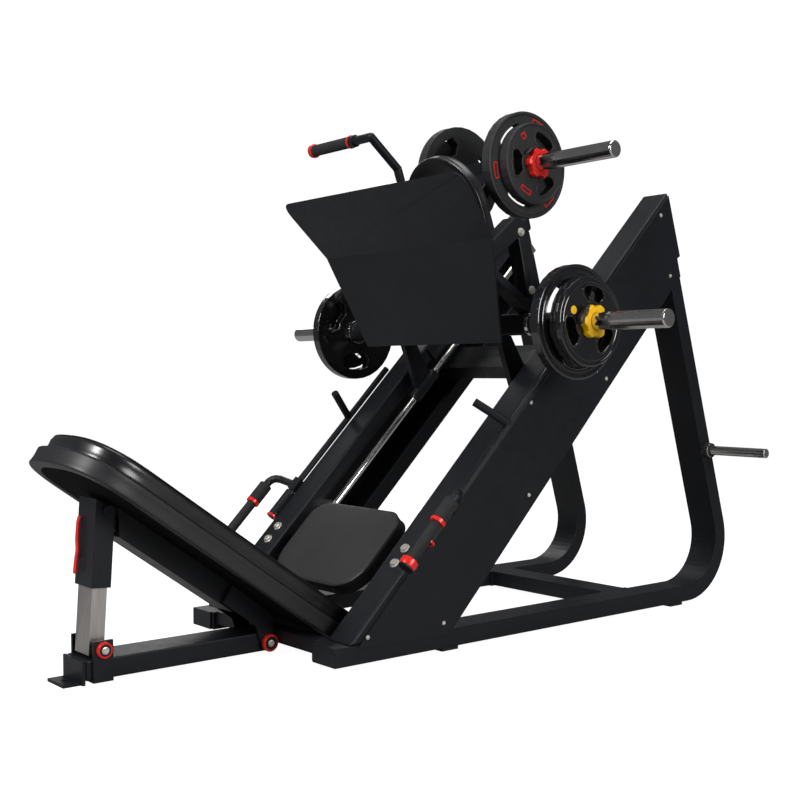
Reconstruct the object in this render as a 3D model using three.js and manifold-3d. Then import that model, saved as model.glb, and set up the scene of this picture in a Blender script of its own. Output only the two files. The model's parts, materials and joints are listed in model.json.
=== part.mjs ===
import * as THREE from "three";
import * as BufferGeometryUtils from "three/addons/utils/BufferGeometryUtils.js";
import Module from "manifold-3d";

// Plate-loaded 45 degree leg press. Millimetres, +Z up, the floor at Z = 0.
// X is the width, Y the length, the head of the backrest towards -Y.

// fits
const GAP = 0.3;             // between two faces that touch
const RUN = 1.0;             // between a bar and what turns or slides on it

// main frame
const INNER_HALF = 260;      // middle plane to the inside of a side frame
const TUBE_W = 100;          // side frame tube, across
const TUBE_T = 50;           // side frame tube, in the side view
const FOOT_H = 14;           // rubber feet
const REAR_BEND_Y = 1413;    // start of the rear bend
const REAR_BEND_R = 195;     // outside radius of the rear bend
const LEAN = 16.2;           // upright, degrees from vertical
const RAIL_FOOT_Y = 47;      // foot of the rail face on the floor tube
const RAIL_LENGTH = 1783;
const LOWER_RAIL_DROP = 130; // clear space between the rail and the lower rail
const COVER_T = 6;
const NOTCH_Z = 1118;        // where the cover steps out past the upright
const CROSS_W = 100;
const ROD_X = 225;
const ROD_DROP = 64;         // rod axis below the rail face
const ROD_R = 11;
const ROD_LAP = 8;           // how far a rod's blocks reach up the side of the rail tube
const ROD_LOW = 440;
const ROD_HIGH = 1670;
const PEG_REACH = 230;
const PEG_R = 15;

// front end
const SPINE_HALF = 57;       // centre floor tube
const SPINE_LOW = 10;
const SPINE_HIGH = 60;
const SPINE_FRONT = -530;
const BED_CROSS_Y = 16;
const BED_CROSS_D = 44;
const SIDE_PLATE_T = 8;
const POST_Y = -485;
const POST_Z = 83;
const POST_HALF = 40;
const SLEEVE_WALL = 5;
const ARM_PIN_Y = -462;
const ARM_PIN_Z = 422;
const TILT_Y = -8;
const TILT_Z = 33;

// pads
const BED_SLOPE = 35.2;      // backrest, degrees
const BED_Y = -130;          // a point on the seam between the two layers
const BED_Z = 269;
const BED_HALF = 215;
const BED_UP = 552;          // from that point to the head end
const BED_DOWN = 392;        // and to the lower end
const BED_LOW_T = 46;
const BED_HIGH_T = 56;
const BED_STEP = 15;
const ARM_T = 59.4;
const SEAT_HALF = 210;
const SEAT_LOW = 158;
const SEAT_HIGH = 432;
const SEAT_T = 50;
const SEAT_PACKER = 5;       // from the underside of the rails up to the seat's board

// carriage
const AXLE_Y = 715;
const AXLE_Z = 897;
const AXLE_HALF = 350;
const AXLE_T = 60;
const HORN_R = 25;
const LOWER_TIP = 840;
const TOP_Y = 878;
const TOP_Z = 1393;
const TOP_HALF = 130;
const UPPER_TIP = 519;
const COLUMN_HALF = 40;
const HOUSING_R = 20;
const SHEET_T = 6;
const CHEEK_T = 50;          // carriage side tubes
const PAD_HALF = 170;

// weights
const BIG_R = 160;
const SMALL_R = 124;
const LOWER_FLANGE = 496;
const COLLAR_T = 25;
const COLLAR_R = 44;

// safety stops
const STOP_X = 380;
const STOP_R = 10;
const STOP_LOW = 345;
const STOP_HIGH = 1000;
const STOP_GRIP = 104;       // offset of the grip from the shaft
const LEFT_TURN = 24;        // how far the left stop is turned out at rest, degrees
const FINGER_S = 775;
const FINGER_L = 120;

const wasm = await Module();
wasm.setup();

const deg = Math.PI / 180;
const half = Math.SQRT1_2;
const group = new THREE.Group();
group.name = "leg_press";
const machine = new THREE.Group();
machine.name = "machine";
group.add(machine);

const BLACK = 0x1d1f22;
const STEEL = 0xb9b7b2;
const CHROME = 0xd8d4cf;
const RED = 0xc8231d;
const RUBBER = 0x2b2b2b;
const PAD = 0x222020;
const YELLOW = 0xf0b400;

function put(name, geometry, color) {
  const mesh = new THREE.Mesh(geometry, new THREE.MeshStandardMaterial({ color }));
  mesh.name = name;
  machine.add(mesh);
  return mesh;
}

// the same piece on the other side of the middle plane
function mirrored(name, geometry, color) {
  const mesh = put(name, geometry, color);
  mesh.scale.x = -1;
  return mesh;
}

function pair(name, geometry, color) {
  put("right_" + name, geometry, color);
  mirrored("left_" + name, geometry, color);
}

// booleans

function solid(geometry) {
  const bare = geometry.index ? geometry.toNonIndexed() : geometry.clone();
  bare.deleteAttribute("normal");
  bare.deleteAttribute("uv");
  const merged = BufferGeometryUtils.mergeVertices(bare, 1e-4);
  return new wasm.Manifold(new wasm.Mesh({
    numProp: 3,
    vertProperties: new Float32Array(merged.attributes.position.array),
    triVerts: new Uint32Array(merged.index.array),
  }));
}

function shell(manifold) {
  const mesh = manifold.getMesh();
  const geometry = new THREE.BufferGeometry();
  geometry.setAttribute("position", new THREE.BufferAttribute(mesh.vertProperties, 3));
  geometry.setIndex(new THREE.BufferAttribute(mesh.triVerts, 1));
  geometry.computeVertexNormals();
  return geometry;
}

function fuse(...parts) {
  return shell(parts.map(solid).reduce((a, b) => a.add(b)));
}

function cut(whole, ...parts) {
  return shell(parts.map(solid).reduce((a, b) => a.subtract(b), solid(whole)));
}

// primitives

function block(x0, x1, y0, y1, z0, z1) {
  const geometry = new THREE.BoxGeometry(x1 - x0, y1 - y0, z1 - z0);
  geometry.translate((x0 + x1) / 2, (y0 + y1) / 2, (z0 + z1) / 2);
  return geometry;
}

// a side view outline, [y, z] pairs, given a thickness across the machine
function across(outline, x0, x1) {
  const shape = Array.isArray(outline)
    ? new THREE.Shape(outline.map(([y, z]) => new THREE.Vector2(y, z)))
    : outline;
  const geometry = new THREE.ExtrudeGeometry(shape, { depth: x1 - x0, bevelEnabled: false, curveSegments: 8 });
  const turn = new THREE.Matrix4().makeBasis(
    new THREE.Vector3(0, 1, 0), new THREE.Vector3(0, 0, 1), new THREE.Vector3(1, 0, 0));
  geometry.applyMatrix4(turn);
  geometry.translate(x0, 0, 0);
  return geometry;
}

// along the rail s, square to its face n, in the side view
function rail(s, n) {
  return [RAIL_FOOT_Y + half * (s - n), FOOT_H + TUBE_T + half * (s + n)];
}

function railBlock(x0, x1, s0, s1, n0, n1) {
  return across([rail(s0, n0), rail(s1, n0), rail(s1, n1), rail(s0, n1)], x0, x1);
}

// a bar from a to b, each [x, y, z]
function bar(a, b, r, sides = 16) {
  const from = new THREE.Vector3(...a);
  const to = new THREE.Vector3(...b);
  const geometry = new THREE.CylinderGeometry(r, r, from.distanceTo(to), sides);
  const axis = to.clone().sub(from).normalize();
  geometry.applyQuaternion(new THREE.Quaternion().setFromUnitVectors(new THREE.Vector3(0, 1, 0), axis));
  const middle = from.add(to).multiplyScalar(0.5);
  geometry.translate(middle.x, middle.y, middle.z);
  return geometry;
}

function ball(p, r) {
  const geometry = new THREE.SphereGeometry(r, 12, 8);
  geometry.translate(...p);
  return geometry;
}

// a round piece on an axis along X: profile of [x, r], closed on itself or on the axis
function turned(profile, y, z, sides = 24) {
  const points = profile.map(([x, r]) => new THREE.Vector2(r, x));
  const geometry = new THREE.LatheGeometry(points, sides);
  geometry.applyMatrix4(new THREE.Matrix4().makeBasis(
    new THREE.Vector3(0, 1, 0), new THREE.Vector3(1, 0, 0), new THREE.Vector3(0, 0, -1)));
  geometry.translate(0, y, z);
  return geometry;
}

function ring(x0, x1, inner, outer, y, z, sides = 24) {
  return turned([[x0, inner], [x0, outer], [x1, outer], [x1, inner], [x0, inner]], y, z, sides);
}

// side frames: floor tube, rear bend and leaning upright

const floorTop = FOOT_H + TUBE_T;
const lean = LEAN * deg;
const up = [-Math.sin(lean), Math.cos(lean)];
const out = [Math.cos(lean), Math.sin(lean)];
const bendZ = FOOT_H + REAR_BEND_R;

// height at which a line offset inwards by t from the rear face crosses the plane n under the rail
function uprightTop(t, n) {
  const y0 = REAR_BEND_Y + (REAR_BEND_R - t) * out[0];
  const z0 = bendZ + (REAR_BEND_R - t) * out[1];
  const shift = n / half;
  const k = (y0 - RAIL_FOOT_Y + shift - z0 + floorTop) / (up[1] - up[0]);
  return [y0 + k * up[0], z0 + k * up[1]];
}

const sideOutline = new THREE.Shape();
sideOutline.moveTo(0, FOOT_H);
sideOutline.lineTo(REAR_BEND_Y, FOOT_H);
sideOutline.absarc(REAR_BEND_Y, bendZ, REAR_BEND_R, -Math.PI / 2, lean, false);
sideOutline.lineTo(...uprightTop(0, -TUBE_T - GAP));
sideOutline.lineTo(...uprightTop(TUBE_T, -TUBE_T - GAP));
sideOutline.absarc(REAR_BEND_Y, bendZ, REAR_BEND_R - TUBE_T, lean, -Math.PI / 2, true);
sideOutline.lineTo(0, floorTop);
pair("side_frame", across(sideOutline, INNER_HALF, INNER_HALF + TUBE_W), BLACK);

// rails at 45 degrees and the lower rails under them

function footCut(n) {
  return [2 * GAP - n, n];
}

function endCut(n) {
  return [RAIL_LENGTH + (Math.cos(lean) - Math.sin(lean)) / (Math.cos(lean) + Math.sin(lean)) * n, n];
}

const railOutline = [footCut(-TUBE_T), endCut(-TUBE_T), endCut(0), footCut(0)].map(([s, n]) => rail(s, n));
pair("rail_beam", across(railOutline, INNER_HALF, INNER_HALF + TUBE_W), BLACK);

const lowTop = -TUBE_T - LOWER_RAIL_DROP;
const lowFoot = -2 * TUBE_T - LOWER_RAIL_DROP;
const lowerOutline = [
  rail(...footCut(lowFoot)),
  uprightTop(TUBE_T + GAP, lowFoot),
  uprightTop(TUBE_T + GAP, lowTop),
  rail(...footCut(lowTop)),
];
pair("lower_rail", across(lowerOutline, INNER_HALF, INNER_HALF + TUBE_W), BLACK);

// sheet covers over the outside of the rails

const coverX = INNER_HALF + TUBE_W + GAP;
const coverOutline = [
  rail(12, -22),
  [RAIL_FOOT_Y + 330, floorTop - 14],
  uprightTop(4, lowFoot + 4),
  [uprightTop(4, 0)[0] + (uprightTop(4, 0)[1] - NOTCH_Z) * Math.tan(lean), NOTCH_Z],
  [uprightTop(-9, 0)[0] + (uprightTop(-9, 0)[1] - NOTCH_Z) * Math.tan(lean), NOTCH_Z + 8],
  uprightTop(-9, -6),
  rail(RAIL_LENGTH - 26, -6),
];
pair("side_cover", across(coverOutline, coverX, coverX + COVER_T), BLACK);

// cross tubes, with their end plates

const crossEnd = INNER_HALF - GAP;
const plateIn = crossEnd - 10;

function crossTube(y0, y1, z0, z1) {
  return fuse(
    block(-plateIn - 1, plateIn + 1, y0, y1, z0, z1),
    block(plateIn, crossEnd, y0 - 10, y1 + 10, FOOT_H, floorTop),
    block(-crossEnd, -plateIn, y0 - 10, y1 + 10, FOOT_H, floorTop));
}

put("front_cross_tube", fuse(
  block(-plateIn - 1, plateIn + 1, BED_CROSS_Y, BED_CROSS_Y + BED_CROSS_D, 30, 66),
  block(plateIn, crossEnd, 6, 70, FOOT_H, floorTop),
  block(-crossEnd, -plateIn, 6, 70, FOOT_H, floorTop)), BLACK);
put("rear_cross_tube", crossTube(1121, 1121 + CROSS_W, 16, floorTop), BLACK);

const upperS = 1091;
const upperN = -ROD_DROP - HOUSING_R - 4;
put("upper_cross_tube", fuse(
  railBlock(-plateIn - 1, plateIn + 1, upperS, upperS + CROSS_W, upperN - TUBE_T, upperN),
  railBlock(plateIn, crossEnd, upperS + 4, upperS + CROSS_W - 4, upperN - TUBE_T - 10, -8),
  railBlock(-crossEnd, -plateIn, upperS + 4, upperS + CROSS_W - 4, upperN - TUBE_T - 10, -8)), BLACK);

// guide rods, each held by two blocks on the inside of its rail

pair("guide_rod", fuse(
  bar([ROD_X, ...rail(ROD_LOW + 5, -ROD_DROP)], [ROD_X, ...rail(ROD_HIGH - 5, -ROD_DROP)], ROD_R, 24),
  railBlock(ROD_X - 22, crossEnd, ROD_LOW, ROD_LOW + 30, -ROD_DROP - 20, ROD_LAP - TUBE_T),
  railBlock(ROD_X - 22, crossEnd, ROD_HIGH - 30, ROD_HIGH, -ROD_DROP - 20, ROD_LAP - TUBE_T)), STEEL);

// rubber feet

const footWide = [INNER_HALF + 15, INNER_HALF + TUBE_W - 15];
pair("front_foot", block(...footWide, 370, 430, 0, FOOT_H - GAP), RUBBER);
pair("rear_foot", block(...footWide, REAR_BEND_Y - 70, REAR_BEND_Y - 10, 0, FOOT_H - GAP), RUBBER);

// storage pegs on the uprights

const pegK = 253;
const pegY = REAR_BEND_Y + (REAR_BEND_R - TUBE_T / 2) * out[0] + pegK * up[0];
const pegZ = bendZ + (REAR_BEND_R - TUBE_T / 2) * out[1] + pegK * up[1];
pair("storage_peg", turned([
  [coverX, 0], [coverX, 23.5], [coverX + 22, 23.5], [coverX + 22, PEG_R],
  [coverX + PEG_REACH - 2, PEG_R], [coverX + PEG_REACH, PEG_R - 2], [coverX + PEG_REACH, 0],
], pegY, pegZ), CHROME);

// centre floor tube, its front foot and the saddle of the post

const tiltBore = bar([-SPINE_HALF - 5, TILT_Y, TILT_Z], [SPINE_HALF + 5, TILT_Y, TILT_Z], 9 + RUN / 2);
put("centre_floor_tube", cut(
  block(-SPINE_HALF, SPINE_HALF, SPINE_FRONT, BED_CROSS_Y - GAP, SPINE_LOW, SPINE_HIGH), tiltBore), BLACK);
put("front_foot_bracket", cut(
  fuse(
    block(-SPINE_HALF, SPINE_HALF, SPINE_FRONT - GAP - 8, SPINE_FRONT - GAP, 0, 60),
    block(-SPINE_HALF + 10, SPINE_HALF - 10, SPINE_FRONT - 54, SPINE_FRONT - GAP - 7, 0, 8)),
  bar([0, SPINE_FRONT - 30, -5], [0, SPINE_FRONT - 30, 20], 7)), BLACK);

const cheekIn = SPINE_HALF + GAP;
const cheekOut = cheekIn + SIDE_PLATE_T;
put("post_saddle", fuse(
  block(cheekIn, cheekOut, POST_Y - 28, POST_Y + 25, 4, POST_Z + 23),
  block(-cheekOut, -cheekIn, POST_Y - 28, POST_Y + 25, 4, POST_Z + 23),
  block(-cheekOut, cheekOut, POST_Y - 28, POST_Y + 25, 4, SPINE_LOW - GAP),
  bar([-cheekOut - 3, POST_Y, POST_Z], [cheekOut + 3, POST_Y, POST_Z], 8),
  bar([cheekOut - 1, POST_Y, POST_Z], [cheekOut + 9, POST_Y, POST_Z], 19),
  bar([-cheekOut - 9, POST_Y, POST_Z], [-cheekOut + 1, POST_Y, POST_Z], 19)), BLACK);

// telescopic post, drawn upright about its lower pin and then leaned

const postLean = Math.atan2(ARM_PIN_Y - POST_Y, ARM_PIN_Z - POST_Z);
const postLong = Math.hypot(ARM_PIN_Y - POST_Y, ARM_PIN_Z - POST_Z);

function leaned(geometry) {
  geometry.rotateX(-postLean);
  geometry.translate(0, POST_Y, POST_Z);
  return geometry;
}

const postFront = -28;
const postRear = 12;
put("post_inner", leaned(cut(
  block(-POST_HALF, POST_HALF, postFront, postRear, -17, 235),
  bar([-POST_HALF - 5, 0, 0], [POST_HALF + 5, 0, 0], 8 + RUN / 2))), STEEL);

const sleeveIn = POST_HALF + RUN / 2;
const sleeveOut = sleeveIn + SLEEVE_WALL + 4;
const sleeveFront = postFront - RUN / 2 - SLEEVE_WALL;
const sleeveRear = postRear + RUN / 2 + SLEEVE_WALL;
const sleeveOutline = [
  [sleeveFront, 150], [sleeveRear, 150], [sleeveRear, postLong - 4], [sleeveFront, postLong + 30],
];
put("post_sleeve", leaned(cut(
  across(sleeveOutline, -sleeveOut, sleeveOut),
  block(-sleeveIn, sleeveIn, postFront - RUN / 2, postRear + RUN / 2, 100, 500),
  block(-sleeveIn, sleeveIn, 0, 40, postLong - 68, 500),
  bar([-80, 0, postLong], [80, 0, postLong], 11))), BLACK);

const leverY = sleeveFront - 5 - GAP;
put("post_lever", leaned(fuse(
  bar([-18, leverY, postLong - 20], [18, leverY, postLong - 20], 5, 16),
  across([[leverY - 4, postLong - 20], [leverY - 4, postLong - 165], [leverY - 10, postLong - 165],
    [leverY - 10, postLong - 26], [leverY - 2, postLong - 17]], -18, 18),
  bar([0, leverY - 5, postLong - 130], [0, sleeveFront - GAP, postLong - 130], 6, 16))), RED);

// backrest: arm, tilt pin and the two padded layers

const slope = BED_SLOPE * deg;
const bedUp = [-Math.cos(slope), Math.sin(slope)];
const bedOut = [Math.sin(slope), Math.cos(slope)];

// side view point at u up the seam and w out of it
function bed(u, w) {
  return [BED_Y + u * bedUp[0] + w * bedOut[0], BED_Z + u * bedUp[1] + w * bedOut[1]];
}

// the same at a given y
function bedAt(y, w) {
  return bed((BED_Y - y + w * bedOut[0]) / Math.cos(slope), w);
}

const armTop = -BED_LOW_T - GAP;
const armLow = armTop - ARM_T;
const armEnd = ARM_PIN_Y + 28;
const lug = [[34, -60], [34, -6], [0, 14], [-12, 13], [-16, 0], [-12, -14], [10, -40]]
  .map(([y, z]) => [ARM_PIN_Y + y, ARM_PIN_Z + z]);
put("backrest_arm", fuse(
  across([bed(-98, armLow), bed(-98, armTop), bedAt(armEnd, armTop), bedAt(armEnd, armLow)], -50, 50),
  across(lug, -34, 34),
  bar([-56, ARM_PIN_Y, ARM_PIN_Z], [56, ARM_PIN_Y, ARM_PIN_Z], 7),
  bar([50 + GAP + 1.5, ARM_PIN_Y, ARM_PIN_Z], [59, ARM_PIN_Y, ARM_PIN_Z], 15),
  bar([-59, ARM_PIN_Y, ARM_PIN_Z], [-50 - GAP - 1.5, ARM_PIN_Y, ARM_PIN_Z], 15),
  ...[1, -1].flatMap((side) => [
    across([[TILT_Y - 20, TILT_Z - 8], [TILT_Y, TILT_Z - 20], [TILT_Y + 16, TILT_Z - 14],
      [TILT_Y + 19, TILT_Z + 2], [TILT_Y + 14, TILT_Z + 72], bed(-50, armTop - 2),
      bed(-50, armLow + 6), [TILT_Y - 40, TILT_Z + 50]],
    Math.min(side * cheekIn, side * cheekOut), Math.max(side * cheekIn, side * cheekOut)),
    across([bed(-90, armLow + 8), bed(-90, armTop - 4), bed(-55, armTop - 4), bed(-55, armLow + 8)],
      Math.min(side * 49, side * 58), Math.max(side * 49, side * 58)),
    bar([side * (cheekOut - 1), TILT_Y, TILT_Z], [side * (cheekOut + 14), TILT_Y, TILT_Z], 22),
  ]),
  bar([-cheekOut, TILT_Y, TILT_Z], [cheekOut, TILT_Y, TILT_Z], 9)), BLACK);

// tongue outline: straight sides, a superellipse round the head end
function tongue(inset) {
  const wide = BED_HALF - inset;
  const headDepth = 185 - inset;
  const points = [];
  const corner = 40;
  points.push([-wide + corner, -BED_DOWN + inset]);
  points.push([wide - corner, -BED_DOWN + inset]);
  points.push([wide - corner * 0.3, -BED_DOWN + inset + corner * 0.3]);
  points.push([wide, -BED_DOWN + inset + corner]);
  const steps = 20;
  for (let i = 0; i <= steps; i += 1) {
    const a = (i / steps) * Math.PI;
    const c = Math.cos(a);
    const x = wide * Math.sign(c) * Math.abs(c) ** (2 / 2.8);
    points.push([x, BED_UP - inset - headDepth + headDepth * Math.abs(Math.sin(a)) ** (2 / 2.8)]);
  }
  points.push([-wide, -BED_DOWN + inset + corner]);
  points.push([-wide + corner * 0.3, -BED_DOWN + inset + corner * 0.3]);
  return new THREE.Shape(points.map(([x, u]) => new THREE.Vector2(x, u)));
}

function layer(inset, thick, w) {
  const geometry = new THREE.ExtrudeGeometry(tongue(inset), { depth: thick, bevelEnabled: false });
  geometry.applyMatrix4(new THREE.Matrix4().makeBasis(
    new THREE.Vector3(-1, 0, 0), new THREE.Vector3(0, ...bedUp), new THREE.Vector3(0, ...bedOut)));
  geometry.translate(0, ...bed(0, w));
  return geometry;
}

put("backrest_base_pad", layer(0, BED_LOW_T - GAP, -BED_LOW_T), PAD);
put("backrest_top_pad", layer(BED_STEP, BED_HIGH_T, 0), PAD);

// seat between the rails, and the bar that carries it

function roundedBox(hx, y0, y1, r) {
  const shape = new THREE.Shape();
  shape.moveTo(-hx + r, y0);
  shape.lineTo(hx - r, y0);
  shape.absarc(hx - r, y0 + r, r, -Math.PI / 2, 0, false);
  shape.lineTo(hx, y1 - r);
  shape.absarc(hx - r, y1 - r, r, 0, Math.PI / 2, false);
  shape.lineTo(-hx + r, y1);
  shape.absarc(-hx + r, y1 - r, r, Math.PI / 2, Math.PI, false);
  shape.lineTo(-hx, y0 + r);
  shape.absarc(-hx + r, y0 + r, r, Math.PI, Math.PI * 1.5, false);
  return shape;
}

// a face-on outline in the rail plane, thickened along the normal
function onRail(shape, n0, n1) {
  const geometry = new THREE.ExtrudeGeometry(shape, { depth: n1 - n0, bevelEnabled: false, curveSegments: 6 });
  geometry.applyMatrix4(new THREE.Matrix4().makeBasis(
    new THREE.Vector3(1, 0, 0), new THREE.Vector3(0, half, half), new THREE.Vector3(0, -half, half)));
  geometry.translate(0, ...rail(0, n0));
  return geometry;
}

const seatFace = SEAT_T - TUBE_T + SEAT_PACKER;
put("seat_pad", onRail(roundedBox(SEAT_HALF, SEAT_LOW, SEAT_HIGH, 60), seatFace - SEAT_T, seatFace), PAD);
put("seat_bracket", fuse(
  railBlock(-INNER_HALF - TUBE_W + 15, INNER_HALF + TUBE_W - 15, 250, 330, -TUBE_T - 40, -TUBE_T - GAP),
  railBlock(-150, 150, 205, 375, -TUBE_T - 8, seatFace - SEAT_T - GAP)), BLACK);

// safety stops: a bushing on each rail and a turning shaft with grip and finger

const bushR = 16;
put("right_stop_bushing", cut(
  fuse(
    bar([STOP_X, ...rail(352, 0)], [STOP_X, ...rail(450, 0)], bushR),
    railBlock(coverX, STOP_X, 365, 437, -9, 9)),
  bar([STOP_X, ...rail(340, 0)], [STOP_X, ...rail(460, 0)], STOP_R + RUN / 2)), BLACK);
mirrored("left_stop_bushing", machine.children.at(-1).geometry, BLACK);

// a round tube through a list of points, its joints mitred by balls
function tubeAlong(points, r) {
  const legs = points.slice(1).map((p, i) => bar(points[i], p, r));
  return fuse(...legs, ...points.slice(1, -1).map((p) => ball(p, r)));
}

// the square clamp that holds the grip bar on the shaft
function clampBlock(grip) {
  const geometry = new THREE.BoxGeometry(26, 26, 44);
  geometry.rotateZ(grip);
  geometry.applyMatrix4(new THREE.Matrix4().makeBasis(
    new THREE.Vector3(1, 0, 0), new THREE.Vector3(0, -half, half), new THREE.Vector3(0, -half, -half)));
  geometry.translate(STOP_X, ...rail(478, 0));
  return geometry;
}

function stopShaft(turn) {
  const grip = (42 - turn) * deg;
  const finger = (180 - 49 - turn) * deg;
  const at = (s, r, a) => [STOP_X + r * Math.cos(a), ...rail(s, r * Math.sin(a))];
  return fuse(
    bar([STOP_X, ...rail(STOP_LOW, 0)], [STOP_X, ...rail(STOP_HIGH, 0)], STOP_R),
    clampBlock(grip),
    tubeAlong([
      at(478, 0, grip), at(478, STOP_GRIP - 36, grip), at(475, STOP_GRIP - 18, grip), at(467, STOP_GRIP - 7, grip),
      at(456, STOP_GRIP - 1, grip), at(444, STOP_GRIP, grip), at(230, STOP_GRIP, grip),
    ], 12.5),
    bar(at(440, STOP_GRIP, grip), at(376, STOP_GRIP, grip), 20.5),
    bar(at(240, STOP_GRIP, grip), at(216, STOP_GRIP, grip), 22),
    bar(at(FINGER_S, 0, finger), at(FINGER_S, FINGER_L, finger), 12));
}

put("right_stop_shaft", stopShaft(0), BLACK);
mirrored("left_stop_shaft", stopShaft(LEFT_TURN), BLACK);

// carriage: axle tube, side frames, column, housings

const axleHalfT = AXLE_T / 2;
const axleTop = AXLE_Z + axleHalfT;
put("carriage_axle_tube", block(
  -AXLE_HALF, AXLE_HALF, AXLE_Y - axleHalfT, AXLE_Y + axleHalfT, AXLE_Z - axleHalfT, axleTop), BLACK);

const plateFoot = [624, 843];
const plateBend = [516, 1128];
const plateTop = [366, 1294];

// a point on the back of the lower part of the foot plate, at height z
function behindPlate(z) {
  const k = (z - plateFoot[1]) / (plateBend[1] - plateFoot[1]);
  const y = plateFoot[0] + k * (plateBend[0] - plateFoot[0]);
  return [y + (SHEET_T + GAP) / Math.cos(20.7 * deg), z];
}

const cheekTopZ = 1199;
function cheekFront(z) {
  return [AXLE_Y - 8 - (z - axleTop) * 0.2285, z];
}

pair("carriage_side", across([
  [AXLE_Y - 13, axleTop + GAP],
  [AXLE_Y + axleHalfT + 10, axleTop + GAP],
  [AXLE_Y + axleHalfT + 10 - (cheekTopZ - axleTop) * 0.2285, cheekTopZ - 6],
  cheekFront(cheekTopZ),
  behindPlate(1106),
  behindPlate(1060),
  cheekFront(1140),
  cheekFront(966),
  behindPlate(1064),
  behindPlate(1028),
], AXLE_HALF - CHEEK_T, AXLE_HALF), BLACK);

const padLean = 20 * deg;
const padFoot = [711, 1168];
const padT = 40;
// a point just off the rear face of the carriage pad, at height z
function padRear(z) {
  const rise = z - padFoot[1] - padT * Math.sin(padLean);
  return [padFoot[0] + padT * Math.cos(padLean) - rise * Math.tan(padLean) + GAP / Math.cos(padLean), z];
}

put("carriage_column", fuse(
  across([
    [AXLE_Y + 6, axleTop + GAP], [AXLE_Y + 46, axleTop + GAP], [AXLE_Y + 88, 1270],
    [TOP_Y + 28, TOP_Z - 10], [TOP_Y - 28, TOP_Z - 10], [AXLE_Y + 52, 1285],
  ], -COLUMN_HALF, COLUMN_HALF),
  block(-TOP_HALF, TOP_HALF, TOP_Y - 30, TOP_Y + 30, TOP_Z - 30, TOP_Z + 30),
  across([padRear(1215), padRear(1262), [AXLE_Y + 60, 1262], [AXLE_Y + 60, 1215]], -30, 30)), BLACK);

const bracketFoot = -ROD_DROP + 6;
const bracketLow = [AXLE_Y - 25, AXLE_Z - axleHalfT - GAP];
const bracketHigh = [AXLE_Y + 25, AXLE_Z - axleHalfT - GAP];
pair("bearing_housing", cut(
  fuse(
    bar([ROD_X, ...rail(925, -ROD_DROP)], [ROD_X, ...rail(1045, -ROD_DROP)], HOUSING_R),
    across([rail(945, bracketFoot), rail(1025, bracketFoot), bracketHigh, bracketLow], ROD_X - 10, ROD_X + 10)),
  bar([ROD_X, ...rail(900, -ROD_DROP)], [ROD_X, ...rail(1070, -ROD_DROP)], ROD_R + RUN / 2)), BLACK);

// foot plate: a bent sheet, trimmed to its outline

const plateBack = [[624, 843], [516, 1128], [366, 1294]];
const lowNormal = [Math.cos(20.7 * deg) * SHEET_T, Math.sin(20.7 * deg) * SHEET_T];
const highNormal = [Math.cos(42.1 * deg) * SHEET_T, Math.sin(42.1 * deg) * SHEET_T];
const bendNormal = [Math.cos(31.4 * deg) * SHEET_T * 1.018, Math.sin(31.4 * deg) * SHEET_T * 1.018];
const sheet = across([
  plateBack[0], plateBack[1], plateBack[2],
  [plateTop[0] + highNormal[0], plateTop[1] + highNormal[1]],
  [plateBend[0] + bendNormal[0], plateBend[1] + bendNormal[1]],
  [plateFoot[0] + lowNormal[0], plateFoot[1] + lowNormal[1]],
], -460, 460);
const outline = new THREE.Shape();
outline.moveTo(-312, 838);
outline.lineTo(312, 838);
outline.lineTo(389, 1128);
outline.lineTo(418, 1252);
outline.quadraticCurveTo(428, 1293, 383, 1293.5);
outline.lineTo(-383, 1293.5);
outline.quadraticCurveTo(-428, 1293, -418, 1252);
outline.lineTo(-389, 1128);
const stencil = new THREE.ExtrudeGeometry(outline, { depth: 500, bevelEnabled: false, curveSegments: 8 });
stencil.applyMatrix4(new THREE.Matrix4().makeBasis(
  new THREE.Vector3(1, 0, 0), new THREE.Vector3(0, 0, 1), new THREE.Vector3(0, -1, 0)));
stencil.translate(0, 750, 0);
put("foot_plate", shell(solid(sheet).intersect(solid(stencil))), BLACK);

// rear-facing pad behind the foot plate

const padShape = new THREE.Shape();
padShape.moveTo(-PAD_HALF, 0);
padShape.lineTo(PAD_HALF, 0);
padShape.lineTo(PAD_HALF, 258 - PAD_HALF);
padShape.absarc(0, 258 - PAD_HALF, PAD_HALF, 0, Math.PI, false);
const padGeometry = new THREE.ExtrudeGeometry(padShape, { depth: padT, bevelEnabled: false, curveSegments: 20 });
padGeometry.applyMatrix4(new THREE.Matrix4().makeBasis(
  new THREE.Vector3(-1, 0, 0), new THREE.Vector3(0, -Math.sin(padLean), Math.cos(padLean)),
  new THREE.Vector3(0, Math.cos(padLean), Math.sin(padLean))));
padGeometry.translate(0, ...padFoot);
put("carriage_pad", padGeometry, PAD);

// bent handle beside that pad

const handleX = -140;
const handleTop = [508, 1482];
const handleKnee = [612, 1395];
const handleFoot = [700, 1150];
const handleEnd = [772, 1134];
put("carriage_handle", fuse(
  bar([-446, ...handleTop], [handleX, ...handleTop], 14),
  bar([-440, ...handleTop], [-246, ...handleTop], 17),
  bar([-450, ...handleTop], [-438, ...handleTop], 22),
  ball([handleX, ...handleTop], 14),
  bar([handleX, ...handleTop], [handleX, ...handleKnee], 14),
  ball([handleX, ...handleKnee], 14),
  bar([handleX, ...handleKnee], [handleX, ...handleFoot], 14),
  ball([handleX, ...handleFoot], 14),
  bar([handleX, ...handleFoot], [handleX, ...handleEnd], 14),
  block(handleX - 16, -COLUMN_HALF - GAP, handleEnd[0] - 20, handleEnd[0] + 20,
    handleEnd[1] - 20, handleEnd[1] + 20)), BLACK);

// horns, plates and collars

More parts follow.
